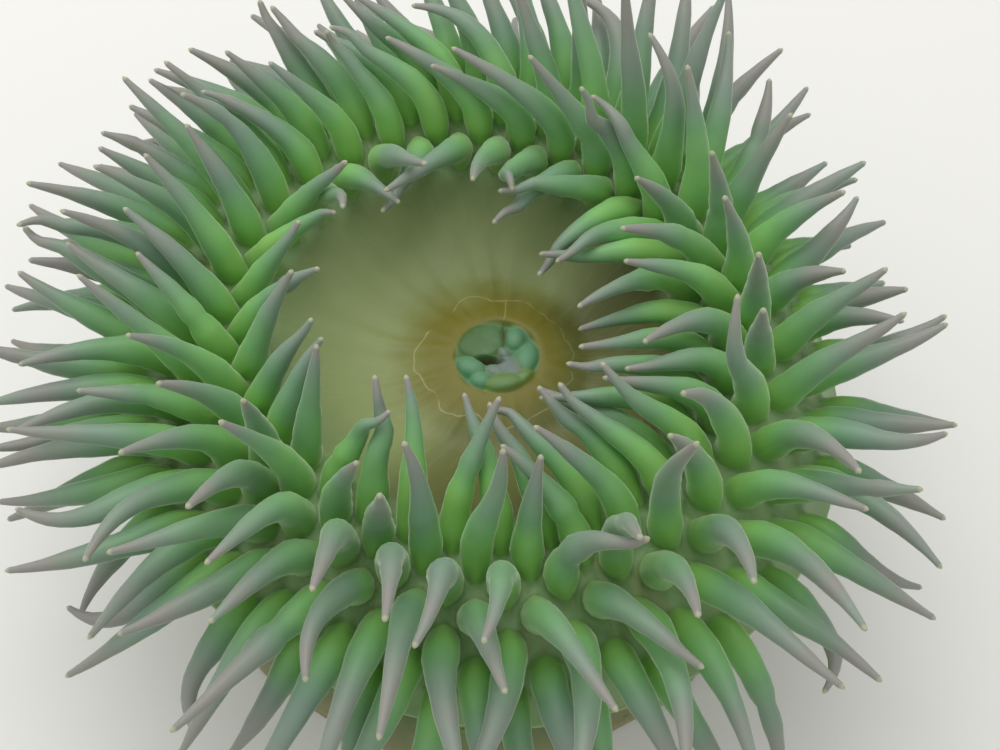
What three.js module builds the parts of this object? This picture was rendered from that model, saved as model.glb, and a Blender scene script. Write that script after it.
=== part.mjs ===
// A giant green sea anemone, life size, as a still museum model.
// Millimetres, +Z up. The origin is the centre of the foot's flat underside, -Y is the front.
import * as THREE from "three";
import { mergeGeometries, mergeVertices } from "three/addons/utils/BufferGeometryUtils.js";

// Driving sizes of the body.
const GAP = 0.3; // clearance between neighbouring pieces
const FOOT_RADIUS = 76;
const FOOT_TOP = 8;
const WAIST_RADIUS = 66;
const COLLAR_BOTTOM = 50;
const SHELF = 66; // height of the column's top, which carries the disc and the crown
const SHELF_RADIUS = 80.5; // the edge of the shelf lies under a row of tentacles
const MARGIN_RADIUS = 88.5;
const RIM = 3.5; // thickness of the margin's edge
const CROWN_INNER_RADIUS = 49.5;
const MOUTH_RADIUS = 10;
const THROAT_RADIUS = 4.4;
const LIP_LOBES = 6;
const BODY_SIDES = 36;

// The mouth is off the middle of the crown.
const MOUTH = new THREE.Vector2(4.5, -1.5);

// Heights of the upper skin: a shallow dish round a raised mouth, a crest, and a slope to the margin.
const DISH_HEIGHT = 77;
const MOUTH_RISE = 3.5;
const CREST_RISE = 13.5;
const CREST_RADIUS = 62;
const MARGIN_FALL = [23, 18, 15, 18]; // to the east, north, west and south

// The tentacles: rows from the mouth outwards. Lists in square brackets go the same way round;
// leans are degrees from level outwards, over upright (90), to level inwards (180), at the root and
// the tip, and aside is the turn to one side, anticlockwise from above.
const ROWS = [
  { radius: 54, girth: 3.75, length: [37, 38, 33, 34], root: [128, 134, 112, 112],
    tip: [172, 166, 136, 134], aside: [0, 26, -18, 22] },
  { radius: 60, girth: 3.85, length: [38, 38, 37, 37], root: [112, 84, 76, 98],
    tip: [150, 62, 50, 106], aside: [5, 45, -15, 26] },
  { radius: 65.5, girth: 3.95, length: [41, 39, 41, 40], root: [94, 68, 60, 90],
    tip: [98, 46, 34, 24], aside: [0, 38, -5, 25] },
  { radius: 71, girth: 4.05, length: [40, 37, 41, 44], root: [70, 56, 46, 66],
    tip: [44, 36, 20, 4], aside: [-5, 32, 2, 8] },
  { radius: 76, girth: 4.1, length: [40, 36, 40, 47], root: [46, 46, 34, 34],
    tip: [24, 20, 11, -10], aside: [-5, 26, 4, 0] },
  { radius: 80.5, girth: 4.05, length: [38, 33, 38, 46], root: [24, 28, 18, 14],
    tip: [14, 6, 4, -24], aside: [-3, 18, 5, 0] },
  { radius: 84.6, girth: 3.85, length: [33, 28, 32, 40], root: [2, 4, -4, -10],
    tip: [0, -10, -8, -36], aside: [-3, 12, 5, 0] },
];
const PER_ROW = 34;
const STEP = (2 * Math.PI) / PER_ROW;
const SECTORS = 17;
const LINKS = 8; // straight links that a tentacle's middle line is worked out in
const SEED = 20260;
const LEAN_SPREAD = 16; // degrees either way
const SWAY_SPREAD = 24;
const LENGTH_SPREAD = 0.13;
const HOOK_CHANCE = 0.16; // share of tentacles whose end curls over
const HOOK_TURN = 85;
const LAID_OVER = { bearing: -0.7, turn: -48, lower: 12 }; // how the inner rows lie on one side
const LONG_SIDE = { bearing: 0.9, more: 0.6, narrow: 10 }; // where the outer rows reach further
const SHORT_SIDE = { bearing: 0.25, more: -0.24, narrow: 6 };
const DRIFT = new THREE.Vector3(-0.1, 0.1, 0); // the set of all the tips, as in a slow current
const ROUNDS = 120; // passes that part the tentacles from each other
const REST_PULL = 0.05; // how strongly each pass draws a tentacle back to its own pose
const KEEP_APART = 1.2; // space left between neighbours
const STILL_LINKS = 1; // links at the root that the skin below doesn't push
const LEAST_CLEARANCE = 1.8;
const LOWEST_TIP = 24;

// A tentacle's surface: its sides, the places along it of its rings, and its root on the skin.
const SIDES = 4;
const RING_PLACES = [0, 0.36, 0.74, 1];
const ROOT_RADIUS = 3.5;
const ROOT_SHARE = 0.9; // thickness at the root, as a share of the fullest
const CUT_CURVE = 0.0001; // bend of the cuts between sectors

const degrees = THREE.MathUtils.degToRad;
const mix = THREE.MathUtils.lerp;

function smoothstep(from, to, x) {
  const t = THREE.MathUtils.clamp((x - from) / (to - from), 0, 1);
  return t * t * (3 - 2 * t);
}

// The value at an angle from the values to the east, north, west and south.
function byCompass([east, north, west, south], angle) {
  const mean = (east + north + west + south) / 4;
  const twice = (east + west - north - south) / 4;
  return (
    mean +
    ((east - west) / 2) * Math.cos(angle) +
    ((north - south) / 2) * Math.sin(angle) +
    twice * Math.cos(2 * angle)
  );
}

// Park and Miller's generator, so that every build gives the same animal.
let state = SEED;
function random() {
  state = (state * 16807) % 2147483647;
  return state / 2147483647;
}
function either() {
  return 2 * random() - 1;
}

// The margin is not level: it lifts to the east and dips in soft waves. Nor is it round.
function wave(angle) {
  return 3.2 * Math.cos(angle - 0.3) + 1.6 * Math.cos(3 * angle + 0.8) + 1.1 * Math.sin(5 * angle);
}

function bulge(angle) {
  return -0.025 * Math.cos(angle - 0.5) - 0.045 * Math.sin(2 * angle);
}

function skinHeight(radius, angle) {
  const beyond = Math.max(0, radius - CREST_RADIUS) / (MARGIN_RADIUS - CREST_RADIUS);
  return (
    DISH_HEIGHT +
    MOUTH_RISE * (1 - smoothstep(MOUTH_RADIUS, 27, radius)) +
    CREST_RISE * smoothstep(22, CREST_RADIUS, radius) -
    byCompass(MARGIN_FALL, angle) * beyond * beyond +
    wave(angle) * smoothstep(34, 80, radius)
  );
}

// Radii and angles are those of a round, centred crown; inPlan gives where such a place really is.
function inPlan(radius, angle, height) {
  const share = smoothstep(MOUTH_RADIUS, CROWN_INNER_RADIUS, radius);
  const reach = radius * (1 + share * bulge(angle));
  return new THREE.Vector3(
    reach * Math.cos(angle) + (1 - share) * MOUTH.x,
    reach * Math.sin(angle) + (1 - share) * MOUTH.y,
    height,
  );
}

// The radius and angle of a real place: inPlan the other way, by closing in on it.
function polarOf({ x, y }) {
  let radius = Math.hypot(x, y);
  let angle = Math.atan2(y, x);
  for (let i = 0; i < 3; i++) {
    const share = smoothstep(MOUTH_RADIUS, CROWN_INNER_RADIUS, radius);
    const east = x - (1 - share) * MOUTH.x;
    const north = y - (1 - share) * MOUTH.y;
    angle = Math.atan2(north, east);
    radius = Math.hypot(east, north) / (1 + share * bulge(angle));
  }
  return [radius, angle];
}

function onSkin(radius, angle) {
  return inPlan(radius, angle, skinHeight(radius, angle));
}

function skinNormal(radius, angle) {
  const step = 0.5;
  const along = onSkin(radius + step, angle).sub(onSkin(radius - step, angle));
  const round = onSkin(radius, angle + 0.01).sub(onSkin(radius, angle - 0.01));
  return along.cross(round).normalize();
}

// Moves each point of a geometry from its place on a round, centred body to its real one.
function reshaped(geometry, reshape) {
  const place = geometry.attributes.position;
  for (let i = 0; i < place.count; i++) {
    const radius = Math.hypot(place.getX(i), place.getY(i));
    const angle = Math.atan2(place.getY(i), place.getX(i));
    const point = reshape(radius, angle, place.getZ(i));
    place.setXYZ(i, point.x, point.y, point.z);
  }
  return geometry;
}

// A turned solid from [radius, height] pairs.
function turned(outline, segments) {
  const points = outline.map(([radius, height]) => new THREE.Vector2(radius, height));
  return new THREE.LatheGeometry(points, segments).rotateX(Math.PI / 2);
}

function closed(outline) {
  return [...outline, outline[0]];
}

function foot() {
  return turned(
    [
      [0, 0],
      [FOOT_RADIUS - 1.2, 0],
      [FOOT_RADIUS, 2.2],
      [FOOT_RADIUS - 4, FOOT_TOP],
      [0, FOOT_TOP],
    ],
    BODY_SIDES,
  );
}

function column() {
  return turned(
    [
      [0, FOOT_TOP + GAP],
      [FOOT_RADIUS - 4, FOOT_TOP + GAP],
      [WAIST_RADIUS + 1.5, 17],
      [WAIST_RADIUS, 27],
      [WAIST_RADIUS + 1.5, 38],
      [WAIST_RADIUS + 5.5, COLLAR_BOTTOM],
      [0, COLLAR_BOTTOM],
    ],
    BODY_SIDES,
  );
}

// The collar is round below and takes the margin's shape above.
function collar() {
  const round = turned(
    [
      [0, COLLAR_BOTTOM + GAP],
      [WAIST_RADIUS + 5.5, COLLAR_BOTTOM + GAP],
      [SHELF_RADIUS - 4, 59],
      [SHELF_RADIUS, SHELF],
      [0, SHELF],
    ],
    BODY_SIDES,
  );
  return reshaped(round, (radius, angle, height) => {
    const reach = radius * (1 + bulge(angle) * smoothstep(COLLAR_BOTTOM, SHELF, height));
    return new THREE.Vector3(reach * Math.cos(angle), reach * Math.sin(angle), height);
  });
}

// The disc's upper side follows the skin's waves, and its seat on the shelf stays level.
function oralDisc() {
  const outer = CROWN_INNER_RADIUS - GAP;
  const seat = SHELF + GAP;
  const upper = [outer, 37, 26, 17, MOUTH_RADIUS + 1.2];
  const level = turned(
    closed([[outer, seat], ...upper.map((radius) => [radius, DISH_HEIGHT]), [MOUTH_RADIUS, seat]]),
    PER_ROW,
  );
  return reshaped(level, (radius, angle, height) =>
    inPlan(radius, angle, height > seat + 1 ? skinHeight(radius, angle) : seat),
  );
}

function lips() {
  const top = DISH_HEIGHT + MOUTH_RISE;
  const outer = MOUTH_RADIUS - GAP;
  const inner = THROAT_RADIUS + GAP;
  const even = turned(
    closed([
      [outer, SHELF + GAP],
      [outer, top - 2.2],
      [8, top - 1.1],
      [inner, top - 5],
      [inner, SHELF + GAP],
    ]),
    4 * LIP_LOBES,
  );
  return reshaped(even, (radius, angle, height) => {
    const free = smoothstep(SHELF + 2, top - 3, height) * (1 - smoothstep(8.2, outer, radius));
    return inPlan(radius, angle, height + 0.8 * free * Math.cos(LIP_LOBES * angle));
  });
}

function throat() {
  const top = DISH_HEIGHT + MOUTH_RISE - 5;
  const centred = turned(
    [
      [0, SHELF + GAP],
      [THROAT_RADIUS, SHELF + GAP],
      [THROAT_RADIUS, top - 1.4],
      [2.4, top],
      [0, top - 0.8],
    ],
    12,
  );
  return reshaped(centred, inPlan);
}

// How much longer or shorter the outer rows are at an angle, besides being drawn in.
function uneven(angle) {
  return [LONG_SIDE, SHORT_SIDE].reduce((sum, { bearing, more, narrow }) => {
    return sum + more * Math.max(0, Math.cos(angle - bearing)) ** narrow;
  }, 0);
}

// A tentacle stands on the skin. Odd rows are set half a step round, as in a honeycomb.
function seedTentacle(row, rowIndex, place) {
  const angle = STEP * (place + (rowIndex % 2) / 2);
  const out = new THREE.Vector3(Math.cos(angle), Math.sin(angle), 0);
  const side = new THREE.Vector3(-Math.sin(angle), Math.cos(angle), 0);
  const up = new THREE.Vector3(0, 0, 1);
  // The outer rows are shorter where the body is drawn in, and longer where it spreads.
  const outer = smoothstep(54, 71, row.radius);
  const drawnIn = (2 * Math.min(0, bulge(angle)) + uneven(angle)) * outer;
  const length = byCompass(row.length, angle) * (1 + LENGTH_SPREAD * either() + drawnIn);
  const turn = LEAN_SPREAD * either();
  const facing = Math.max(0, Math.cos(angle - LAID_OVER.bearing)) ** 3;
  const laid = facing * (1 - smoothstep(60, 71, row.radius));
  const rootLean = byCompass(row.root, angle) + 0.4 * turn + LAID_OVER.lower * laid;
  const tipLean = byCompass(row.tip, angle) + turn + LAID_OVER.lower * laid;
  const sway = SWAY_SPREAD * either();
  const rowAside = byCompass(row.aside, angle) + LAID_OVER.turn * laid;
  const hook = random() < HOOK_CHANCE ? HOOK_TURN * either() : 0;
  const normal = skinNormal(row.radius, angle);
  const line = [onSkin(row.radius, angle)];
  for (let i = 0; i < LINKS; i++) {
    const share = (i + 0.5) / LINKS;
    const lean = degrees(mix(rootLean, tipLean, smoothstep(0, 0.9, share)));
    const whim = sway * share * 1.5 + hook * smoothstep(0.45, 1, share);
    const aside = degrees(whim + rowAside * smoothstep(0, 0.6, share));
    const heading = new THREE.Vector3()
      .addScaledVector(out, Math.cos(lean) * Math.cos(aside))
      .addScaledVector(up, Math.sin(lean) * Math.cos(aside))
      .addScaledVector(side, Math.sin(aside))
      .addScaledVector(DRIFT, share)
      .lerp(normal, 0.75 * (1 - smoothstep(0, 0.3, share)))
      .normalize();
    line.push(line[i].clone().addScaledVector(heading, length / LINKS));
  }
  const rest = line.map((point) => point.clone());
  const sector = Math.floor(place / 2);
  return { angle, radius: row.radius, girth: row.girth, length, normal, side, line, rest, sector };
}

// Half the thickness at a share of the length: fullest just above the root, then an even taper.
function thickness(girth, share) {
  const swell = mix(ROOT_SHARE, 1, smoothstep(0, 0.14, share));
  return girth * swell * (1 - 0.82 * share);
}

function clearance(tentacle, index) {
  return Math.max(LEAST_CLEARANCE, thickness(tentacle.girth, index / LINKS)) + KEEP_APART / 2;
}

// One pass: neighbours push each other apart, the skin and the floor push back, and the links
// keep their length.
function settle(tentacles, pairs, pull) {
  const moves = tentacles.map((t) => t.line.map(() => new THREE.Vector3()));
  const counts = tentacles.map((t) => t.line.map(() => 0));
  const between = new THREE.Vector3();
  for (const [a, b] of pairs) {
    for (let i = 1; i <= LINKS; i++) {
      for (let j = 1; j <= LINKS; j++) {
        between.subVectors(tentacles[a].line[i], tentacles[b].line[j]);
        const wanted = clearance(tentacles[a], i) + clearance(tentacles[b], j);
        const apart = between.length();
        if (apart >= wanted) continue;
        between.multiplyScalar((wanted - apart) / (2 * apart));
        moves[a][i].add(between);
        moves[b][j].sub(between);
        counts[a][i] += 1;
        counts[b][j] += 1;
      }
    }
  }
  tentacles.forEach((tentacle, t) => {
    const { line, rest, length } = tentacle;
    for (let i = 1; i <= LINKS; i++) {
      line[i].addScaledVector(moves[t][i], 1 / Math.max(1, counts[t][i]));
      line[i].lerp(rest[i], pull);
      const [radius, angle] = polarOf(line[i]);
      const lowest =
        radius < MARGIN_RADIUS ? skinHeight(radius, angle) + 0.9 * clearance(tentacle, i) : LOWEST_TIP;
      if (i > STILL_LINKS) line[i].z = Math.max(line[i].z, lowest);
      const link = line[i].clone().sub(line[i - 1]).setLength(length / LINKS);
      line[i].addVectors(line[i - 1], link);
    }
  });
}

function growTentacles() {
  const tentacles = ROWS.flatMap((row, index) =>
    Array.from({ length: PER_ROW }, (_, place) => seedTentacle(row, index, place)),
  );
  const pairs = [];
  tentacles.forEach((first, a) => {
    for (let b = a + 1; b < tentacles.length; b++) {
      const reach = first.length + tentacles[b].length;
      if (first.line[0].distanceTo(tentacles[b].line[0]) < reach) pairs.push([a, b]);
    }
  });
  for (let round = 0; round < ROUNDS; round++) {
    settle(tentacles, pairs, REST_PULL * (1 - round / ROUNDS));
  }
  return tentacles;
}

// A tentacle's root: a circle on the sloping skin.
function rootRing({ radius, angle, normal }) {
  return Array.from({ length: SIDES }, (_, i) => {
    const turn = (2 * Math.PI * i) / SIDES;
    const outwards = radius + ROOT_RADIUS * normal.z * Math.cos(turn);
    const aside = ROOT_RADIUS * Math.sin(turn);
    return onSkin(Math.hypot(outwards, aside), angle + Math.atan2(aside, outwards));
  });
}

// An open cone bent along the tentacle's middle line, from the root's ring to the tip.
function tentacleSurface(tentacle) {
  const curve = new THREE.CatmullRomCurve3(tentacle.line);
  const roots = rootRing(tentacle);
  const across = tentacle.side.clone();
  const rings = RING_PLACES.map((share) => {
    const along = curve.getTangentAt(share);
    across.addScaledVector(along, -across.dot(along)).normalize();
    const over = new THREE.Vector3().crossVectors(across, along);
    return { centre: curve.getPointAt(share), across: across.clone(), over, share };
  });
  const bands = RING_PLACES.length - 1;
  const geometry = new THREE.ConeGeometry(1, 1, SIDES, bands, true);
  const position = geometry.attributes.position;
  for (let i = 0; i < position.count; i++) {
    const { centre, across, over, share } = rings[Math.round((position.getY(i) + 0.5) * bands)];
    const turn = Math.atan2(position.getX(i), position.getZ(i));
    if (share === 0) {
      const root = roots[Math.round((turn * SIDES) / (2 * Math.PI) + SIDES) % SIDES];
      position.setXYZ(i, root.x, root.y, root.z);
    } else {
      const radius = share < 1 ? thickness(tentacle.girth, share) : 0;
      const point = centre
        .clone()
        .addScaledVector(over, radius * Math.cos(turn))
        .addScaledVector(across, radius * Math.sin(turn));
      position.setXYZ(i, point.x, point.y, point.z);
    }
  }
  return geometry;
}

// The cut between two sectors runs zigzag through the gaps between the tentacles' roots. It curves
// a little, so that no three of its corners lie in one line.
const CUT_RADII = [CROWN_INNER_RADIUS, ...ROWS.map((row) => row.radius), MARGIN_RADIUS];
const SHELF_INDEX = CUT_RADII.indexOf(SHELF_RADIUS);

function cutAngle(sector, index) {
  const rowIndex = THREE.MathUtils.clamp(index - 1, 0, ROWS.length - 1);
  return (2 * sector - (rowIndex % 2 ? 0 : 0.5)) * STEP + CUT_CURVE * index * index;
}

// A cut, as the radius and angle of each of its corners.
function cutLine(sector, shift) {
  return CUT_RADII.map((radius, index) => [radius, cutAngle(sector, index) + shift / radius]);
}

function midway(sector, index) {
  return [CUT_RADII[index], cutAngle(sector, index) + STEP];
}

// The margin's underside: level on the shelf, then up to the rim.
function onUnderside(radius, angle) {
  const share = Math.max(0, radius - SHELF_RADIUS) / (MARGIN_RADIUS - SHELF_RADIUS);
  return inPlan(radius, angle, mix(SHELF + GAP, skinHeight(MARGIN_RADIUS, angle) - RIM, share));
}

function pointsOf(corners, place) {
  return corners.map(([radius, angle]) => place(radius, angle));
}

// The triangles that fill an outline round its holes, seen from above, three corners to each.
function filled(outline, holes = []) {
  const points = [...outline, ...holes.flat()];
  return THREE.ShapeUtils.triangulateShape(outline, holes).flat().map((corner) => points[corner]);
}

// The upright cut faces between an outline of the upper skin and the same one below.
function walls(above, below) {
  return above.flatMap((high, i) => {
    const next = (i + 1) % above.length;
    return [below[i], below[next], above[next], below[i], above[next], high];
  });
}

// One sector of the crown: skin, cut faces, underside and tentacles, joined into one closed surface.
function sectorSurface(sector, tentacles) {
  const shift = (GAP + 0.1) / 2;
  const first = cutLine(sector, shift);
  const last = cutLine(sector + 1, -shift);
  const inner = midway(sector, 0);
  const shelf = midway(sector, SHELF_INDEX);
  const outer = midway(sector, CUT_RADII.length - 1);
  const outline = [...first, outer, ...last.toReversed(), inner];
  const [firstSeat, lastSeat] = [first, last].map((cut) => cut.slice(0, SHELF_INDEX + 1));
  const [firstBrim, lastBrim] = [first, last].map((cut) => cut.slice(SHELF_INDEX));
  const seat = [...firstSeat, shelf, ...lastSeat.reverse(), inner];
  const brim = [...firstBrim, outer, ...lastBrim.reverse(), shelf];
  const corners = [
    ...filled(pointsOf(outline, onSkin), tentacles.map(rootRing)),
    ...filled(pointsOf(seat, onUnderside)).reverse(),
    ...filled(pointsOf(brim, onUnderside)).reverse(),
    ...walls(pointsOf(outline, onSkin), pointsOf(outline, onUnderside)),
  ];
  const body = new THREE.BufferGeometry().setFromPoints(corners);
  return joined([body, ...tentacles.map(tentacleSurface)]);
}

// Surfaces that share their border points become one.
function joined(faces) {
  const bare = faces.map((face) => {
    const plain = face.index ? face.toNonIndexed() : face;
    plain.deleteAttribute("normal");
    plain.deleteAttribute("uv");
    return plain;
  });
  const whole = mergeVertices(mergeGeometries(bare), 1e-4);
  whole.computeVertexNormals();
  return whole;
}

const columnFinish = new THREE.MeshStandardMaterial({ color: 0x7f9468, roughness: 0.6, metalness: 0 });
const discFinish = new THREE.MeshStandardMaterial({ color: 0x7b8550, roughness: 0.5, metalness: 0 });
const lipFinish = new THREE.MeshStandardMaterial({ color: 0x6f9f78, roughness: 0.4, metalness: 0 });
const throatFinish = new THREE.MeshStandardMaterial({ color: 0x8c8c98, roughness: 0.4, metalness: 0 });
const crownFinish = new THREE.MeshStandardMaterial({ color: 0x78b070, roughness: 0.45, metalness: 0 });

const anemone = new THREE.Group();

function place(name, geometry, material) {
  const mesh = new THREE.Mesh(geometry, material);
  mesh.name = name;
  anemone.add(mesh);
}

place("foot", foot(), columnFinish);
place("column", column(), columnFinish);
place("collar", collar(), columnFinish);
place("oral_disc", oralDisc(), discFinish);
place("lips", lips(), lipFinish);
place("throat", throat(), throatFinish);

const tentacles = growTentacles();
for (let sector = 0; sector < SECTORS; sector++) {
  const name = `tentacle_sector_${String(sector + 1).padStart(2, "0")}`;
  const own = tentacles.filter((tentacle) => tentacle.sector === sector);
  place(name, sectorSurface(sector, own), crownFinish);
}

export default anemone;
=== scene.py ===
"""A giant green sea anemone as a still, life-size museum model.

Lengths inside the shape functions are millimetres, +Z up, -Y the front; meshes are in metres.
"""

import math
from types import SimpleNamespace

import bpy
import numpy as np
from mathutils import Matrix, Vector
from mathutils.geometry import delaunay_2d_cdt


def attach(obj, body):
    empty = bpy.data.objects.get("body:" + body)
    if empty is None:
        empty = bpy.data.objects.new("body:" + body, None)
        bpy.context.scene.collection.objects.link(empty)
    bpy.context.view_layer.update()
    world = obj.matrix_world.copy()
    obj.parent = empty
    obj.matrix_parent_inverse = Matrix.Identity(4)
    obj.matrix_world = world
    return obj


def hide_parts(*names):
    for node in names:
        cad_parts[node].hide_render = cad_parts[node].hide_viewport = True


bl_info = {
    "name": "Green Sea Anemone",
    "version": (1, 0, 0),
    "blender": (4, 5, 0),
    "location": "View3D > Sidebar > Anemone",
    "description": "Builds a life-size giant green sea anemone and a plain studio round it",
    "category": "Object",
}

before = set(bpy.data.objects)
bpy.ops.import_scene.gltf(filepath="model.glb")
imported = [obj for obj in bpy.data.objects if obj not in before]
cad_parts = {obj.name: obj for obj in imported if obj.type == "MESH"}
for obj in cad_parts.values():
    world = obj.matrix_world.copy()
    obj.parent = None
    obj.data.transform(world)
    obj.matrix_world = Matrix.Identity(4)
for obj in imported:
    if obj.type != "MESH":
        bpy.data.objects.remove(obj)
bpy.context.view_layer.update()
MILLIMETRE = 0.001

# Driving sizes of the body, as in the solids.
COLLAR_BOTTOM = 50
SHELF = 66
SHELF_RADIUS = 80.5
MARGIN_RADIUS = 88.5
RIM = 3.5
CROWN_INNER_RADIUS = 49.5
MOUTH_RADIUS = 10
MOUTH = (4.5, -1.5)
DISH_HEIGHT = 77
MOUTH_RISE = 3.5
CREST_RISE = 13.5
CREST_RADIUS = 62
MARGIN_FALL = (23, 18, 15, 18)  # to the east, north, west and south

# The tentacles: radius, girth, then lengths, root leans, tip leans and turns aside by compass.
ROWS = (
    (54, 3.75, (37, 38, 33, 34), (128, 134, 112, 112), (172, 166, 136, 134), (0, 26, -18, 22)),
    (60, 3.85, (38, 38, 37, 37), (112, 84, 76, 98), (150, 62, 50, 106), (5, 45, -15, 26)),
    (65.5, 3.95, (41, 39, 41, 40), (94, 68, 60, 90), (98, 46, 34, 24), (0, 38, -5, 25)),
    (71, 4.05, (40, 37, 41, 44), (70, 56, 46, 66), (44, 36, 20, 4), (-5, 32, 2, 8)),
    (76, 4.1, (40, 36, 40, 47), (46, 46, 34, 34), (24, 20, 11, -10), (-5, 26, 4, 0)),
    (80.5, 4.05, (38, 33, 38, 46), (24, 28, 18, 14), (14, 6, 4, -24), (-3, 18, 5, 0)),
    (84.6, 3.85, (33, 28, 32, 40), (2, 4, -4, -10), (0, -10, -8, -36), (-3, 12, 5, 0)),
)
PER_ROW = 34
STEP = 2 * math.pi / PER_ROW
LINKS = 8
SEED = 20260
LEAN_SPREAD = 16
ROOT_LEAN_SHARE = 0.4  # of that spread
SWAY_SPREAD = 24
SWAY_AT_TIP = 1.5
LENGTH_SPREAD = 0.13
HOOK_CHANCE = 0.16
HOOK_TURN = 85
LAID_BEARING, LAID_TURN, LAID_LOWER = -0.7, -48, 12
UNEVEN = ((0.9, 0.6, 10), (0.25, -0.24, 6))  # bearing, how much longer, how narrow
DRIFT = (-0.1, 0.1, 0)
ROUNDS = 120
REST_PULL = 0.05
KEEP_APART = 1.2
SKIN_GAP = 0.9  # share of its clearance that a link keeps from the skin
STILL_LINKS = 1
LEAST_CLEARANCE = 1.8
LOWEST_TIP = 24
ROOT_SHARE = 0.9
SWELL_LENGTH = 0.14
TAPER = 0.82


# ---- the rule of the body's shape


def smoothstep(low, high, x):
    t = np.clip((x - low) / (high - low), 0, 1)
    return t * t * (3 - 2 * t)


def by_compass(values, angle):
    """The value at an angle from the values to the east, north, west and south."""
    east, north, west, south = values
    mean = (east + north + west + south) / 4
    twice = (east + west - north - south) / 4
    across = (east - west) / 2 * np.cos(angle) + (north - south) / 2 * np.sin(angle)
    return mean + across + twice * np.cos(2 * angle)


def wave(angle):
    return 3.2 * np.cos(angle - 0.3) + 1.6 * np.cos(3 * angle + 0.8) + 1.1 * np.sin(5 * angle)


def bulge(angle):
    return -0.025 * np.cos(angle - 0.5) - 0.045 * np.sin(2 * angle)


def skin_height(radius, angle):
    beyond = np.maximum(0, radius - CREST_RADIUS) / (MARGIN_RADIUS - CREST_RADIUS)
    return (
        DISH_HEIGHT
        + MOUTH_RISE * (1 - smoothstep(MOUTH_RADIUS, 27, radius))
        + CREST_RISE * smoothstep(22, CREST_RADIUS, radius)
        - by_compass(MARGIN_FALL, angle) * beyond * beyond
        + wave(angle) * smoothstep(34, 80, radius)
    )


def turns(sides):
    """Evenly spaced angles, once round."""
    return 2 * np.pi * np.arange(sides) / sides


def plan_of(radius, angle):
    return np.stack([radius * np.cos(angle), radius * np.sin(angle)], axis=-1)


def level_ring(radius, angle, height=0):
    x, y = radius * np.cos(angle), radius * np.sin(angle)
    return np.stack([x, y, height + 0 * angle], axis=-1)


def in_plan(radius, angle, height):
    """Where a place on a round, centred crown really is."""
    share = smoothstep(MOUTH_RADIUS, CROWN_INNER_RADIUS, radius)
    reach = radius * (1 + share * bulge(angle))
    x = reach * np.cos(angle) + (1 - share) * MOUTH[0]
    y = reach * np.sin(angle) + (1 - share) * MOUTH[1]
    return np.stack([x, y, height + 0 * x], axis=-1)


def polar_of(point):
    """The radius and angle of a real place, by closing in on it."""
    x, y = point[..., 0], point[..., 1]
    radius, angle = np.hypot(x, y), np.arctan2(y, x)
    for _ in range(3):
        share = smoothstep(MOUTH_RADIUS, CROWN_INNER_RADIUS, radius)
        east, north = x - (1 - share) * MOUTH[0], y - (1 - share) * MOUTH[1]
        angle = np.arctan2(north, east)
        radius = np.hypot(east, north) / (1 + share * bulge(angle))
    return radius, angle


def on_skin(radius, angle):
    return in_plan(radius, angle, skin_height(radius, angle))


def unit(vectors):
    return vectors / np.linalg.norm(vectors, axis=-1, keepdims=True)


def skin_normal(radius, angle):
    along = on_skin(radius + 0.5, angle) - on_skin(radius - 0.5, angle)
    around = on_skin(radius, angle + 0.01) - on_skin(radius, angle - 0.01)
    return unit(np.cross(along, around))


# ---- the rule of the tentacles' pose


class Draws:
    """Park and Miller's generator, so that every run gives the same animal."""

    def __init__(self, seed):
        self.state = seed

    def share(self):
        self.state = self.state * 16807 % 2147483647
        return self.state / 2147483647

    def either(self):
        return 2 * self.share() - 1


def draw_whims():
    """Each tentacle's own share of length, lean, sway and hook, in rows from the mouth outwards."""
    draws = Draws(SEED)
    whims = []
    for _ in range(len(ROWS) * PER_ROW):
        length, lean, sway = draws.either(), draws.either(), draws.either()
        hook = draws.either() if draws.share() < HOOK_CHANCE else 0
        whims.append((length, lean, sway, hook))
    return np.array(whims).T


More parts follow.
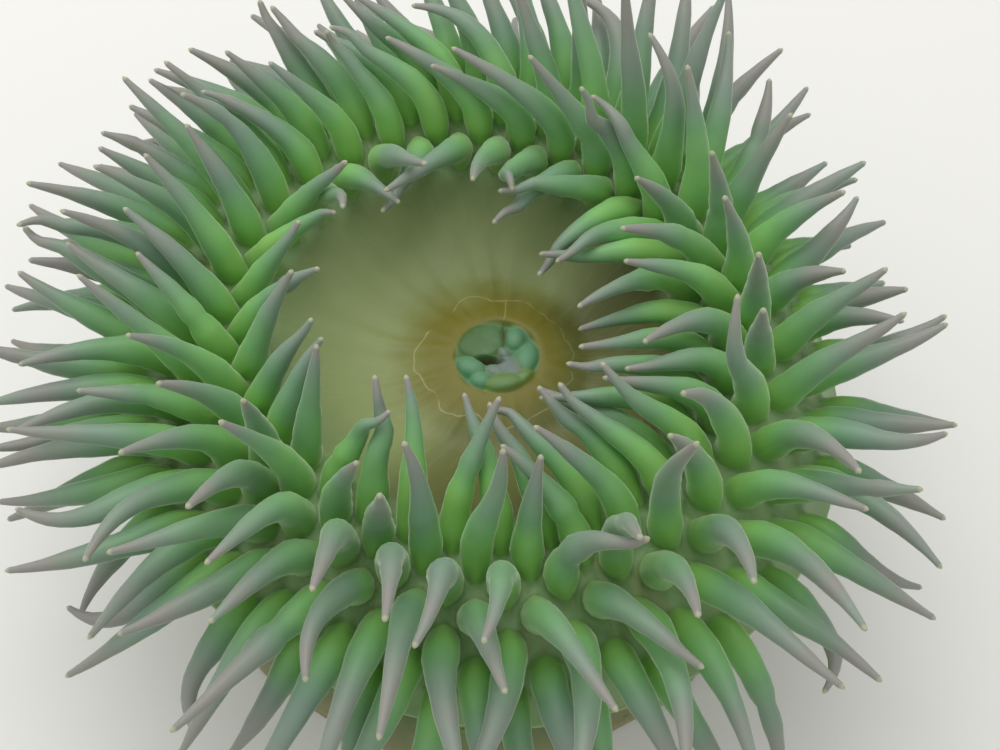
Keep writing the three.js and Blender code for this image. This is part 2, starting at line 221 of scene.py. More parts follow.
def seed_tentacles():
    """Every tentacle as it would stand alone on the skin."""
    rows, places = np.divmod(np.arange(len(ROWS) * PER_ROW), PER_ROW)
    angle = STEP * (places + (rows % 2) / 2)
    radius, girth, *sided = (np.array(column, float)[rows] for column in zip(*ROWS))
    lengths, root_leans, tip_leans, turn_aside = (by_compass(four.T, angle) for four in sided)
    length_whim, lean_whim, sway_whim, hook_whim = draw_whims()
    uneven = sum(more * np.maximum(0, np.cos(angle - at)) ** narrow for at, more, narrow in UNEVEN)
    drawn_in = (2 * np.minimum(0, bulge(angle)) + uneven) * smoothstep(54, 71, radius)
    length = lengths * (1 + LENGTH_SPREAD * length_whim + drawn_in)
    laid = np.maximum(0, np.cos(angle - LAID_BEARING)) ** 3 * (1 - smoothstep(60, 71, radius))
    turn_aside = turn_aside + LAID_TURN * laid
    root_lean = root_leans + ROOT_LEAN_SHARE * LEAN_SPREAD * lean_whim + LAID_LOWER * laid
    tip_lean = tip_leans + LEAN_SPREAD * lean_whim + LAID_LOWER * laid
    out = level_ring(1, angle)
    side = np.stack([-np.sin(angle), np.cos(angle), 0 * angle], axis=-1)
    up = np.array([0.0, 0.0, 1.0])
    normal = skin_normal(radius, angle)
    line = [on_skin(radius, angle)]
    for link in range(LINKS):
        share = (link + 0.5) / LINKS
        lean = np.radians(root_lean + (tip_lean - root_lean) * smoothstep(0, 0.9, share))
        sway = SWAY_SPREAD * sway_whim * share * SWAY_AT_TIP
        hook = HOOK_TURN * hook_whim * smoothstep(0.45, 1, share)
        aside = np.radians(sway + hook + turn_aside * smoothstep(0, 0.6, share))
        heading = (
            out * (np.cos(lean) * np.cos(aside))[:, None]
            + up * (np.sin(lean) * np.cos(aside))[:, None]
            + side * np.sin(aside)[:, None]
            + np.array(DRIFT) * share
        )
        heading += (normal - heading) * 0.75 * (1 - smoothstep(0, 0.3, share))
        line.append(line[-1] + unit(heading) * (length / LINKS)[:, None])
    return SimpleNamespace(
        angle=angle, radius=radius, girth=girth, length=length, normal=normal, side=side,
        line=np.stack(line, axis=1),
    )


def thickness(girth, share):
    """Half the thickness: fullest just above the root, then an even taper."""
    swell = ROOT_SHARE + (1 - ROOT_SHARE) * smoothstep(0, SWELL_LENGTH, share)
    return girth * swell * (1 - TAPER * share)


def settle(line, rest, length, clearance, pull):
    """One pass: neighbours part, skin and floor push back, and the links keep their length."""
    points = line[:, 1:].reshape(-1, 3)
    reach = clearance.reshape(-1)
    squares = (points**2).sum(axis=1)
    apart = squares[:, None] + squares - 2 * points @ points.T
    first, second = np.nonzero(apart < (2 * reach.max()) ** 2)
    other = first // LINKS < second // LINKS
    first, second = first[other], second[other]
    between = points[first] - points[second]
    distance = np.linalg.norm(between, axis=1)
    wanted = reach[first] + reach[second]
    near = distance < wanted
    first, second, between = first[near], second[near], between[near]
    push = between * ((wanted - distance)[near] / (2 * distance[near]))[:, None]
    moves, counts = np.zeros_like(points), np.zeros(len(points))
    for pushed, way in ((first, push), (second, -push)):
        np.add.at(moves, pushed, way)
        np.add.at(counts, pushed, 1)
    moves = (moves / np.maximum(1, counts)[:, None]).reshape(-1, LINKS, 3)
    link_length = (length / LINKS)[:, None]
    for i in range(1, LINKS + 1):
        line[:, i] += moves[:, i - 1]
        line[:, i] += (rest[:, i] - line[:, i]) * pull
        if i > STILL_LINKS:
            radius, angle = polar_of(line[:, i])
            floor = skin_height(radius, angle) + SKIN_GAP * clearance[:, i - 1]
            lowest = np.where(radius < MARGIN_RADIUS, floor, LOWEST_TIP)
            line[:, i, 2] = np.maximum(line[:, i, 2], lowest)
        line[:, i] = line[:, i - 1] + unit(line[:, i] - line[:, i - 1]) * link_length


def grow_tentacles():
    crown = seed_tentacles()
    wide = thickness(crown.girth[:, None], np.arange(1, LINKS + 1) / LINKS)
    clearance = np.maximum(LEAST_CLEARANCE, wide) + KEEP_APART / 2
    rest = crown.line.copy()
    for step in range(ROUNDS):
        pull = REST_PULL * (1 - step / ROUNDS)
        settle(crown.line, rest, crown.length, clearance, pull)
    return crown


# ---- the living skin

SIDES = 180  # places round the body
UNDERSIDE_RADII = (22, 45, 62, 71)
OFF_CROWN = 200.0  # radius on the plan that the column's places are given
TENTACLE_SIDES = 14
ROOT_LENGTH = (5.3, 5.2, 4.9, 4.6, 4.3, 4.1, 3.8)  # half a root's length outwards, row by row
ROOT_WIDTH = (3.2, 3.35, 3.6, 3.8, 4.0, 4.1, 4.0)
ROOT_POINT = 0.45  # how much a root narrows to a point at its inner and outer ends
SKIN_ON_GIRTH = 0.3  # how much thicker the living tentacle is than its rule
UNEVEN_TAPER = ((0.04, 2.3), (0.022, 5.2))  # share of the thickness, waves along it
SMOOTH_SHARE = 0.86  # of the tentacles; the others have a knuckle
WEB_INNER_RADIUS = 47.5  # where the web between the roots passes into the disc
WEB_EDGE = 1.2  # how far its free places keep from its rims
WEB_PITCH = 2.1  # between its free places
ROOT_REACH = 7  # no root's outline reaches further from its middle
LEAST_CLEAR = 0.2  # share of a root's size that free places keep from it
BAND_PLACES = (
    0.018, 0.045, 0.08, 0.12, 0.165, 0.215, 0.27, 0.33, 0.39, 0.45,
    0.51, 0.57, 0.63, 0.69, 0.75, 0.81, 0.865, 0.912, 0.95, 0.978, 0.994,
)
# Outline of the column from the collar's shelf to the floor: radius and height.
COLUMN_OUTLINE = (
    (80.5, 66), (79.4, 63.5), (76.5, 59), (73.4, 54), (71.2, 49), (68.8, 43), (66.9, 36), (66, 28),
    (66.4, 21), (68, 15), (70.6, 10.5), (73.4, 7), (75.4, 4.2), (76, 2.2), (75.6, 0.9), (74.6, 0),
)
# The rolled edge below the margin: out and down.
MARGIN_OUTLINE = ((0.5, -0.5), (0.7, -1.5), (0.2, -2.7), (-1.6, -3.5))
SUCKER_OUTLINE = ((1.5, -0.4), (1.18, 0.22), (0.86, 0.72), (0.42, 0.84))
SUCKER_DIMPLE = 0.62  # height of its middle
SUCKER_SIDES = 10
LIP_EDGE = 0.9  # how far the lips reach past the mouth's radius
LOBE_KINDS = ("dark", "teal", "lime", "grey")
# Lobes of the mouth: middle east and north, half length, half width, turn in degrees, rise, kind.
LOBES = (
    # The first lobe is the low pocket; its dark tint is partly its own green and partly painted
    # shade of the hollow.
    (-3.9, 4.2, 5.7, 4.5, 12, 0.9, 0),
    (4.3, 5.0, 2.3, 3.0, -8, 1.7, 1),
    (7.2, -0.6, 2.6, 4.1, -14, 1.6, 1),
    (-6.4, -3.2, 3.6, 2.7, -24, 1.8, 1),
    (-4.0, -6.6, 2.5, 2.3, -30, 1.3, 1),
    (2.0, -7.6, 4.9, 2.6, 6, 1.7, 2),
    (6.6, -5.9, 2.6, 2.1, 35, 1.2, 2),
    (1.6, 0.9, 1.3, 1.7, 30, 1.0, 3),
    (3.4, -3.0, 3.6, 2.7, -30, 0.9, 3),
    (-0.4, -3.9, 2.3, 1.6, -20, 0.7, 3),
)
# The slit and the cleft between them: middle, half length, half width, turn in radians.
SLIT, SLIT_DEPTH = (-1.8, -1.1, 3.7, 1.2, -0.12), 2.6
CLEFT, CLEFT_DEPTH = (1.7, 6.4, 0.8, 3.6, 0), 1.2


class Skin:
    """Points, faces and the point attributes that the finish reads, gathered part by part."""

    NAMES = ("along", "who", "column", *LOBE_KINDS, "slit")

    def __init__(self):
        self.points, self.plans, self.values = [], [], {name: [] for name in self.NAMES}
        self.quads, self.triangles, self.count = [], [], 0

    def add(self, points, plan, **values):
        first, count = self.count, len(points)
        self.points.append(points)
        self.plans.append(np.broadcast_to(plan, (count, 2)))
        for name, kept in self.values.items():
            kept.append(np.broadcast_to(values.get(name, 0.0), (count,)))
        self.count += count
        return np.arange(first, first + count)

    def close(self, rings, ring, middle):
        """A wall of closed rings, and a cap from one end's ring to its middle point."""
        self.quads.append(quads_between(np.array(rings)))
        self.triangles.append(fan_to(ring, middle))


def quads_between(rings):
    """Quads between closed rings of point numbers, facing out where the rings rise."""
    low, high = rings[:-1], rings[1:]
    quads = np.stack([low, np.roll(low, -1, 1), np.roll(high, -1, 1), high], axis=-1)
    return quads.reshape(-1, 4)


def fan_to(ring, middle):
    return np.stack([ring, np.roll(ring, -1), np.full(len(ring), middle)], axis=-1)


def spline(points, places):
    """Places along a smooth line through evenly spaced points, and its headings."""
    ends = np.vstack([2 * points[0] - points[1], points, 2 * points[-1] - points[-2]])
    at = np.clip(np.asarray(places) * (len(points) - 1), 0, len(points) - 1 - 1e-9)
    link = at.astype(int)
    t = (at - link)[:, None]
    a, b, c, d = (ends[link + i] for i in range(4))
    square, cube = 2 * a - 5 * b + 4 * c - d, 3 * b - a - 3 * c + d
    place = 0.5 * (2 * b + (c - a) * t + square * t**2 + cube * t**3)
    slope = 0.5 * ((c - a) + 2 * square * t + 3 * cube * t**2)
    return place, unit(slope)


def spindle(turn):
    """The sine of an outline's turn, drawn in towards a point at both ends."""
    sine = np.sin(turn)
    return sine * np.abs(sine) ** ROOT_POINT


def root_ring(crown, index):
    """The root's outline on the skin: its points, and their places on the round plan."""
    turn, row = turns(TENTACLE_SIDES), index // PER_ROW
    radius, angle = crown.radius[index], crown.angle[index]
    outwards = radius + ROOT_LENGTH[row] * crown.normal[index][2] * np.cos(turn)
    aside = ROOT_WIDTH[row] * spindle(turn)
    reach, bearing = np.hypot(outwards, aside), angle + np.arctan2(aside, outwards)
    return on_skin(reach, bearing), plan_of(reach, bearing)


def peak(place, spread):
    """A bell that is 1 at place 0."""
    return np.exp(-((place / spread) ** 2))


def tentacle_outline(girth, places, draws):
    """Half the thickness along one tentacle: fullest at the bend, then uneven, with a blunt nub."""
    fullness = 0.92 + 0.08 * smoothstep(0.02, 0.12, places)
    wide = (girth + SKIN_ON_GIRTH) * fullness * (1 - 0.87 * places**1.25)
    for height, waves in UNEVEN_TAPER:
        wide = wide * (1 + height * np.sin(2 * np.pi * (waves * places + draws.share())))
    knuckle, depth = 0.3 + 0.4 * draws.share(), draws.share()
    if depth > SMOOTH_SHARE:
        depth = 0.2 * (depth - 0.7) / 0.3
        wide = wide * (1 - depth * peak(places - knuckle, 0.045))
        wide = wide * (1 + 0.6 * depth * peak(places - knuckle - 0.11, 0.07))
    close = np.sqrt(np.clip((1.003 - places) / 0.02, 0, 1))
    return wide * close + 0.06 * peak(places - 0.98, 0.015)


def add_tentacle(skin, crown, index, draws):
    """One tentacle, from its root on the skin to its tip; returns its root's point numbers."""
    ring, plan = root_ring(crown, index)
    row = index // PER_ROW
    who = draws.share()
    places = np.array(BAND_PLACES)
    wide = tentacle_outline(crown.girth[index], places, draws)
    centres, headings = spline(crown.line[index], places)
    flat, slant = 0.05 * draws.either(), np.pi * draws.share()
    turn, across = turns(TENTACLE_SIDES), crown.side[index]
    plan_middle = plan_of(crown.radius[index], crown.angle[index])
    root_long, root_broad = ROOT_LENGTH[row] * 0.96, ROOT_WIDTH[row] * 0.97
    rings = [skin.add(ring, plan, who=who)]
    for place, centre, heading, half in zip(places, centres, headings, wide):
        rounding = smoothstep(0, 0.2, place)
        across = unit(across - heading * np.dot(across, heading))
        over = np.cross(across, heading)
        shape = half * (1 + flat * np.cos(2 * (turn - slant)))
        long = root_long + (shape - root_long) * rounding
        broad = root_broad + (shape - root_broad) * rounding
        beside = spindle(turn) + (np.sin(turn) - spindle(turn)) * rounding
        ring = centre + (long * np.cos(turn))[:, None] * over + (broad * beside)[:, None] * across
        rings.append(skin.add(ring, plan_middle, along=place, who=who))
    tip = crown.line[index][-1:] + headings[-1] * 0.1
    middle = skin.add(tip, plan_middle, along=1, who=who)[0]
    skin.close(rings, rings[-1], middle)
    return rings[0]


def within(points, outlines):
    """Whether each point lies inside its own closed outline."""
    first, second = outlines, np.roll(outlines, -1, axis=1)
    x, y = points[:, :1], points[:, 1:]
    crossing = (first[..., 1] > y) != (second[..., 1] > y)
    rise = np.where(crossing, second[..., 1] - first[..., 1], 1)
    at = first[..., 0] + (y - first[..., 1]) * (second[..., 0] - first[..., 0]) / rise
    return (crossing & (x < at)).sum(axis=1) % 2 == 1


def web_places(crown, outlines):
    """Free places between the roots on the round plan, and how clear each is of the roots."""
    angle = crown.angle
    row = np.arange(len(angle)) // PER_ROW
    across = np.arange(-MARGIN_RADIUS, MARGIN_RADIUS, WEB_PITCH)
    x, y = np.meshgrid(across, across * np.sqrt(0.75))
    x = x + (np.arange(len(across)) % 2)[:, None] * WEB_PITCH / 2
    free = np.stack([x.ravel(), y.ravel()], axis=-1)
    reach = np.hypot(*free.T)
    free = free[(reach > WEB_INNER_RADIUS + WEB_EDGE) & (reach < MARGIN_RADIUS - WEB_EDGE)]
    out = plan_of(1, angle)
    away = free[:, None] - plan_of(crown.radius, angle)
    along = (away * out).sum(-1) / np.array(ROOT_LENGTH)[row]
    beside = np.abs(away[..., 0] * -out[:, 1] + away[..., 1] * out[:, 0])
    left = np.maximum(np.clip(1 - along**2, 0, 1), 0.02)
    wide = beside / (np.array(ROOT_WIDTH)[row] * left ** (0.5 + ROOT_POINT / 2))
    clear = (np.hypot(along, np.minimum(wide, beside / WEB_EDGE)) - 1).min(axis=1)
    spot, owner = np.nonzero(np.linalg.norm(away, axis=-1) < ROOT_REACH)
    clear[spot[within(free[spot], outlines[owner])]] = 0
    return free[clear > LEAST_CLEAR], clear[clear > LEAST_CLEAR]


def crown_web(skin, crown, roots, inner, outer, groove):
    """The skin between the roots, sunk a little into grooves."""
    rings = [inner, outer, *roots]
    fixed = np.concatenate(rings)
    fixed_plans = np.concatenate(skin.plans)
    outlines = np.array([fixed_plans[root] for root in roots])
    free, clear = web_places(crown, outlines)
    places = on_skin(np.hypot(*free.T), np.arctan2(free[:, 1], free[:, 0]))
    places[:, 2] -= groove * smoothstep(0, 0.6, clear)
    numbers = np.concatenate([fixed, skin.add(places, free, who=0.5)])
    plans = np.concatenate([fixed_plans[fixed], free])
    edges, owner, start = [], np.full(len(numbers), -1), 0
    for index, ring in enumerate(rings):
        loop = np.arange(start, start + len(ring))
        edges += zip(loop.tolist(), np.roll(loop, -1).tolist())
        start += len(ring)
        if ring is not outer:
            owner[loop] = index
    corners = [Vector(place) for place in plans]
    _, _, faces, sources, _, _ = delaunay_2d_cdt(corners, edges, [], 0, 1e-6)
    faces = np.array([found[0] for found in sources])[np.array(faces)]
    whose = owner[faces]
    inside = (whose[:, 0] >= 0) & (whose[:, 0] == whose[:, 1]) & (whose[:, 0] == whose[:, 2])
    # A root's outline is hollow near its points: a face outside it may join three of its places.
    on_root = np.nonzero(inside & (whose[:, 0] > 1))[0]
    middles = plans[faces[on_root]].mean(axis=1)
    inside[on_root] = within(middles, outlines[whose[on_root, 0] - 2])
    skin.triangles.append(numbers[faces[~inside]])


def oval(east, north, middle_east, middle_north, long, wide, turn):
    """A place measured from an oval's middle, in its own half lengths and half widths."""
    c, s = math.cos(turn), math.sin(turn)
    x, y = east - middle_east, north - middle_north
    return (x * c + y * s) / long, (y * c - x * s) / wide


def lobe_heights(east, north):
    """Rise of each lobe of the mouth at a place measured from the mouth's middle."""
    heights = []
    for *middle, long, wide, turn, rise, _ in LOBES:
        along, beside = oval(east, north, *middle, long, wide, math.radians(turn))
        inside = 1 - along**2 - beside**2
        dome = rise * np.sqrt(np.maximum(0, inside))
        heights.append(np.where(inside > 0, dome, 1.2 * inside))
    return np.array(heights)


def mouth_shape(radius, angle):
    """Height above the round skin inside the lips' edge, and how far each tint holds there."""
    east, north = radius * np.cos(angle), radius * np.sin(angle)
    heights = lobe_heights(east, north)
    top = np.maximum(heights.max(axis=0), -1.8)
    slit = 1 - smoothstep(0.4, 1.15, np.hypot(*oval(east, north, *SLIT)))
    cleft = 1 - smoothstep(0.3, 1.2, np.hypot(*oval(east, north, *CLEFT)))
    height = top - SLIT_DEPTH * slit - CLEFT_DEPTH * cleft
    edge = smoothstep(MOUTH_RADIUS + LIP_EDGE, MOUTH_RADIUS - 0.6, radius)
    kinds = np.array([lobe[6] for lobe in LOBES])
    weight = np.exp(4 * (heights - heights.max(axis=0)))
    weight = weight / weight.sum(axis=0)
    tints = {name: weight[kinds == i].sum(axis=0) * edge for i, name in enumerate(LOBE_KINDS)}
    return height, edge, {**tints, "slit": np.maximum(slit, 0.6 * cleft) * edge}


def column_point(height_share, angle, flute, wrinkle):
    """A place on the column's side; the share runs from the floor to the collar's shelf."""
    place, _ = spline(np.array(COLUMN_OUTLINE[::-1], float), height_share)
    radius, height = place[:, :1], place[:, 1:]
    low, high = 1 - smoothstep(2, 26, height), smoothstep(40, 66, height)
    ripple = (0.9 * np.sin(7 * angle + 0.6) + 0.6 * np.sin(12 * angle - 1.1)) * low
    ridges = flute * np.cos(24 * angle + 0.5 * np.sin(3 * angle))
    ridges = ridges * smoothstep(0, 9, height) * (1 - 0.6 * high)
    rings = np.sin(1.15 * height + 1.6 * np.sin(2 * angle + 0.4) + 0.7 * np.sin(5 * angle))
    waist = smoothstep(5, 16, height) * (1 - smoothstep(44, 60, height))
    radius = radius * (1 + bulge(angle) * smoothstep(COLLAR_BOTTOM, SHELF, height))
    radius = radius + ripple * smoothstep(0, 2, height) + ridges + wrinkle * rings * waist
    return level_ring(radius, angle, height)


def add_body_side(skin, flute, wrinkle):
    """The flat underside, the column, the collar and the margin's rolled edge."""
    angle = turns(SIDES)
    far = plan_of(OFF_CROWN, angle)
    middle = skin.add(np.zeros((1, 3)), np.array([[OFF_CROWN, 0.0]]), column=1)[0]
    rings = [skin.add(level_ring(radius, angle), far, column=1) for radius in UNDERSIDE_RADII]
    heights = np.concatenate([np.linspace(0, 0.35, 14), np.linspace(0.35, 1, 34)[1:]])
    for ring in column_point(heights, angle, flute, wrinkle):
        rings.append(skin.add(ring, far, column=1))
    height = skin_height(MARGIN_RADIUS, angle)
    shelf = in_plan(SHELF_RADIUS, angle, SHELF)
    under = in_plan(MARGIN_RADIUS - 1.6, angle, height - RIM)
    for share in (0.3, 0.6, 0.85):
        collar = shelf + (under - shelf) * share
        rings.append(skin.add(collar, plan_of(92, angle), column=1 - 0.5 * share))
    for out, down in MARGIN_OUTLINE[::-1]:
        edge = in_plan(MARGIN_RADIUS + out, angle, height + down)
        rings.append(skin.add(edge, plan_of(90, angle), column=0.3 + 0.06 * down))
    rings.append(skin.add(on_skin(MARGIN_RADIUS, angle), plan_of(MARGIN_RADIUS, angle)))
    skin.close(rings, rings[0][::-1], middle)
    return rings[-1]


def disc_rise(radius, angle):
    """Soft radial folds of the disc, laid between the crown and the mouth."""
    from_mouth = smoothstep(MOUTH_RADIUS + 1, 18, radius)
    from_crown = 1 - smoothstep(44, CROWN_INNER_RADIUS, radius)
    folds = 0.13 * np.sin(24 * angle + 0.03 * radius)
    folds = folds + 0.08 * np.sin(33 * angle - 0.05 * radius + 1)
    return folds * (from_mouth * from_crown)


def add_disc(skin):
    """The shallow disc and the mouth, from the crown's inner edge to the middle."""
    angle, rings = turns(SIDES), []
    lips = MOUTH_RADIUS + LIP_EDGE
    disc_radii, lip_radii = np.linspace(WEB_INNER_RADIUS, lips, 30), np.linspace(lips, 1.0, 34)
    for radius in (*disc_radii, *lip_radii[1:], 0.55):
        place = on_skin(radius, angle)
        height, edge, tints = mouth_shape(radius, angle)
        place[:, 2] += disc_rise(radius, angle) + height * edge
        rings.append(skin.add(place, plan_of(radius, angle), who=0.5, **tints))
    centre = on_skin(0.0, np.zeros(1))
    height, _, tints = mouth_shape(0.0, np.zeros(1))
    centre[:, 2] += height
    middle = skin.add(centre, np.zeros((1, 2)), who=0.5, **tints)[0]
    skin.close(rings, rings[-1], middle)
    return rings[0]


def mesh_from(name, points, faces, attributes=None):
    """A smooth mesh in metres from points in millimetres, with its point attributes."""
    mesh = bpy.data.meshes.new(name)
    mesh.from_pydata((points * MILLIMETRE).tolist(), [], faces)
    if mesh.validate():
        raise RuntimeError(f"{name} has faulty faces")
    mesh.polygons.foreach_set("use_smooth", [True] * len(mesh.polygons))
    for label, values in (attributes or {}).items():
        kind, key = ("FLOAT", "value") if values.ndim == 1 else ("FLOAT_VECTOR", "vector")
        attribute = mesh.attributes.new(label, kind, "POINT")
        attribute.data.foreach_set(key, values.astype(np.float32).ravel())
    mesh.update()
    return mesh


def build_skin_mesh(groove, flute, wrinkle):
    crown, skin, draws = grow_tentacles(), Skin(), Draws(SEED + 1)
    margin = add_body_side(skin, flute, wrinkle)
    inner = add_disc(skin)
    roots = [add_tentacle(skin, crown, index, draws) for index in range(len(crown.line))]
    crown_web(skin, crown, roots, inner, margin, groove)
    plans = np.concatenate(skin.plans)
    faces = np.concatenate(skin.quads).tolist() + np.concatenate(skin.triangles).tolist()
    attributes = {name: np.concatenate(parts) for name, parts in skin.values.items()}
    attributes["plan"] = np.concatenate([plans, 0 * plans[:, :1]], axis=1)
    return mesh_from("flesh_skin", np.concatenate(skin.points), faces, attributes)


def sucker_mesh():
    """One low, dimpled sucker of the column, closed below."""
    turn = turns(SUCKER_SIDES)
    points = [level_ring(radius, turn, height) for radius, height in SUCKER_OUTLINE]
    points.append(np.array([[0, 0, SUCKER_DIMPLE]]))
    rings = np.arange(len(SUCKER_OUTLINE) * SUCKER_SIDES).reshape(-1, SUCKER_SIDES)
    faces = [rings[0][::-1].tolist(), *quads_between(rings).tolist()]
    faces += fan_to(rings[-1], rings.size).tolist()
    return mesh_from("sucker", np.concatenate(points), faces)


def column_guide_mesh(flute, wrinkle):
    """The column's side alone, with how densely the suckers sit."""
    angle, heights = turns(120), np.linspace(0.2, 0.985, 40)
    points = column_point(heights, angle, flute, wrinkle).reshape(-1, 3)
    faces = quads_between(np.arange(len(points)).reshape(len(heights), len(angle))).tolist()
    dense = 0.25 + 0.75 * smoothstep(4, 44, points[:, 2])
    return mesh_from("column_guide", points, faces, {"dense": dense})


# ---- finishes

RING_LINE_RADIUS = 18.0


def paint(red, green, blue):
    """A colour as a painter reads it, 0 to 255, turned into light."""
    shares = (value / 255 for value in (red, green, blue))
    return tuple(s / 12.92 if s <= 0.04045 else ((s + 0.055) / 1.055) ** 2.4 for s in shares)


class Wire:
    """A value running through a finish; arithmetic on a number adds Math nodes."""

    def __init__(self, finish, socket):
        self.finish, self.socket = finish, socket

    def maths(self, operation, *values):
        node = self.finish.node("ShaderNodeMath", {"operation": operation}, dict(enumerate(values)))
        return Wire(self.finish, node.outputs[0])

    def __add__(self, other):
        return self.maths("ADD", self, other)

    def __sub__(self, other):
        return self.maths("SUBTRACT", self, other)

    def __rsub__(self, other):
        return self.maths("SUBTRACT", other, self)

    def __mul__(self, other):
        return self.maths("MULTIPLY", self, other)

    __radd__, __rmul__ = __add__, __mul__

    def size(self):
        return self.maths("ABSOLUTE", self)

    def step(self, low, high):
        """0 below low, 1 above high (or the other way round), eased between."""
        ends = (1.0, 0.0) if low > high else (0.0, 1.0)
        inputs = {0: self, 1: min(low, high), 2: max(low, high), 3: ends[0], 4: ends[1]}
        settings = {"interpolation_type": "SMOOTHSTEP"}
        node = self.finish.node("ShaderNodeMapRange", settings, inputs)
        return Wire(self.finish, node.outputs[0])


def add_node(tree, kind, settings=None, inputs=None):
    """Adds any node: its settings first, then a value or a wire for each socket."""
    node = tree.nodes.new(kind)
    for name, value in (settings or {}).items():
        if name == "stops":
            elements = node.color_ramp.elements
            while len(elements) < len(value):
                elements.new(0.5)
            for element, (place, colour) in zip(elements, value):
                element.position, element.color = place, (*colour, 1)
        else:
            setattr(node, name, value)
    for key, value in (inputs or {}).items():
        socket = node.inputs[key]
        if isinstance(value, Wire):
            value = value.socket
        if isinstance(value, bpy.types.NodeSocket):
            tree.links.new(value, socket)
        elif hasattr(socket.default_value, "__len__") and len(socket.default_value) == 4:
            socket.default_value = (*value, 1)[:4]
        else:
            socket.default_value = value
    return node


class Finish:
    """The nodes of a material, or of the world, under construction."""

    def __init__(self, owner, output="ShaderNodeOutputMaterial"):
        owner.use_nodes = True
        self.owner, self.tree = owner, owner.node_tree
        self.tree.nodes.clear()
        self.output = self.node(output)

    def node(self, kind, settings=None, inputs=None):
        return add_node(self.tree, kind, settings, inputs)

    def show(self, shader):
        """Sends a shader to the output, and hands back what now wears it."""
        self.tree.links.new(shader.outputs[0], self.output.inputs[0])
        return self.owner

    def mix(self, share, first, second):
        """A colour between two colours."""
        settings = {"data_type": "RGBA", "clamp_factor": True}
        return self.node("ShaderNodeMix", settings, {0: share, 6: first, 7: second}).outputs[2]

    def ramp(self, share, stops):
        return self.node("ShaderNodeValToRGB", {"stops": stops}, {0: share}).outputs[0]

    def reading(self, name, output="Fac"):
        """A point attribute, as a number or a vector."""
        node = self.node("ShaderNodeAttribute", {"attribute_name": name})
        return Wire(self, node.outputs[output])

    def place(self):
        return self.node("ShaderNodeTexCoord").outputs["Object"]

    def vector_maths(self, operation, vector, output):
        node = self.node("ShaderNodeVectorMath", {"operation": operation}, {0: vector})
        return Wire(self, node.outputs[output])

    def split(self, vector):
        outputs = self.node("ShaderNodeSeparateXYZ", None, {0: vector}).outputs
        return [Wire(self, socket) for socket in outputs]

    def join(self, x, y, z):
        return self.node("ShaderNodeCombineXYZ", None, {0: x, 1: y, 2: z}).outputs[0]

    def noise(self, vector, scale, detail=2.0, roughness=0.5):
        inputs = {"Vector": vector, "Scale": scale, "Detail": detail, "Roughness": roughness}
        return Wire(self, self.node("ShaderNodeTexNoise", None, inputs).outputs[0])

    def bump(self, height, distance, strength):
        inputs = {"Height": height, "Distance": distance, "Strength": strength}
        return self.node("ShaderNodeBump", None, inputs).outputs[0]

    def flesh(self, colour, roughness, normal, depth):
        """The moist, slightly see-through surface that every part of the animal shares."""
        inputs = {
            "Base Color": colour,
            "Roughness": roughness,
            "Normal": normal,
            "IOR": 1.36,
            "Subsurface Weight": depth,
            "Subsurface Radius": (0.6, 1.0, 0.55),
            "Subsurface Scale": 0.0035,
            "Coat Weight": 0.12,
            "Coat Roughness": 0.28,
            "Sheen Weight": 0.65,
            "Sheen Roughness": 0.3,
            "Sheen Tint": (0.94, 1.0, 0.8),
        }
        settings = {"subsurface_method": "BURLEY"}
        return self.show(self.node("ShaderNodeBsdfPrincipled", settings, inputs))


def foot_tint(finish, looks, colour, mottle, full, strength):
    """A colour that turns tan towards the floor, along an uneven edge."""
    height = finish.split(finish.place())[2]
    return finish.mix((height + mottle).step(0.022, full) * strength, colour, looks.foot)


def column_colour(finish, looks):
    """Olive column, mottled darker, and tan at the foot."""
    mottle = finish.noise(finish.place(), 70, 2, 0.7)
    colour = finish.mix(mottle.step(0.38, 0.62), looks.column_dark, looks.column)
    return foot_tint(finish, looks, colour, mottle * 0.014, 0.005, 0.75)


